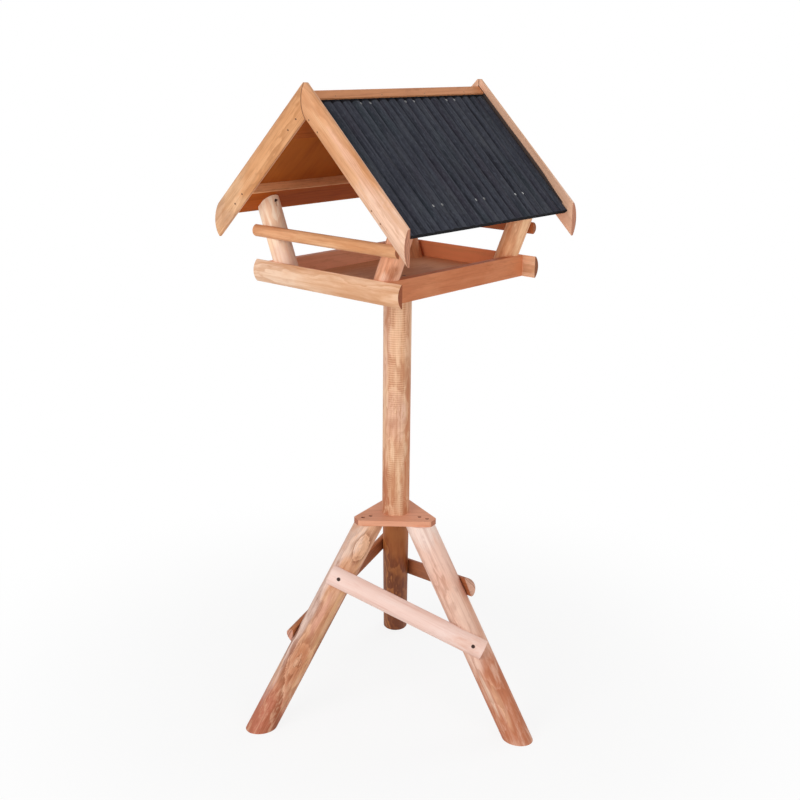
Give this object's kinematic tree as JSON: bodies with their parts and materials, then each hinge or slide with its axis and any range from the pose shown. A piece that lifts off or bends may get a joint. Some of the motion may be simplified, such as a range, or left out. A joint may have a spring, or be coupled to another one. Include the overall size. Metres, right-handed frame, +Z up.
{
  "type": "bird table",
  "caption": "Wooden bird table: a tray with low sides under a pitched roof of black fluted boards, on a round pole and a braced tripod.",
  "frame": {"origin": "on the ground, on the axis of the upright pole, in the middle of the three feet", "axes": "+Z up along the pole, +Y along the roof ridge, +X across the eaves; the gable at -Y is the one nearer the camera in the picture"},
  "size_m": [0.6164, 0.6222, 1.375],
  "materials": {
    "leg_wood": "peeled round softwood, stained, oiled",
    "brace_wood": "half-round softwood, light stain",
    "plate_wood": "board, stained",
    "pole_wood": "machined round softwood with fine ripples",
    "honey_wood": "half-round softwood, honey stain",
    "post_wood": "round softwood, stained",
    "stained_wood": "board, brown stain",
    "strip_wood": "thin board, brown stain",
    "black_roof_wood": "fluted board, black stain, matt",
    "dowel_wood": "turned dowel, plain",
    "dark_screws": "dark coated steel",
    "bright_screws": "zinc plated",
    "nails": "dull steel"
  },
  "bodies": {
    "root": {"bargeboard_back_left": "honey_wood", "bargeboard_back_right": "honey_wood", "bargeboard_front_left": "honey_wood", "bargeboard_front_right": "honey_wood", "bargeboard_nails": "nails", "brace_front": "brace_wood", "brace_left": "brace_wood", "brace_right": "brace_wood", "brace_screws": "dark_screws", "end_rail_back": "honey_wood", "end_rail_front": "honey_wood", "floor_dowels": "dowel_wood", "leg_left": "leg_wood", "leg_rear": "leg_wood", "leg_right": "leg_wood", "leg_screws": "dark_screws", "lower_purlin_left": "stained_wood", "lower_purlin_right": "stained_wood", "perch_back": "honey_wood", "perch_dowels": "dowel_wood", "perch_front": "honey_wood", "pole": "pole_wood", "pole_foot_screws": "dark_screws", "pole_head_screws": "dark_screws", "post_back_left": "post_wood", "post_back_right": "post_wood", "post_foot_screws": "dark_screws", "post_front_left": "post_wood", "post_front_right": "post_wood", "post_head_screws": "dark_screws", "rail_dowels": "dowel_wood", "ridge_pins": "nails", "ridge_strip_left": "strip_wood", "ridge_strip_right": "strip_wood", "roof_board_left_1": "black_roof_wood", "roof_board_left_2": "black_roof_wood", "roof_board_left_3": "black_roof_wood", "roof_board_left_4": "black_roof_wood", "roof_board_right_1": "black_roof_wood", "roof_board_right_2": "black_roof_wood", "roof_board_right_3": "black_roof_wood", "roof_board_right_4": "black_roof_wood", "roof_screws": "bright_screws", "side_board_left": "stained_wood", "side_board_right": "stained_wood", "tray_dowels": "dowel_wood", "tray_floor": "stained_wood", "tripod_plate": "plate_wood", "upper_purlin_left": "stained_wood", "upper_purlin_right": "stained_wood"}
  },
  "joints": []
}
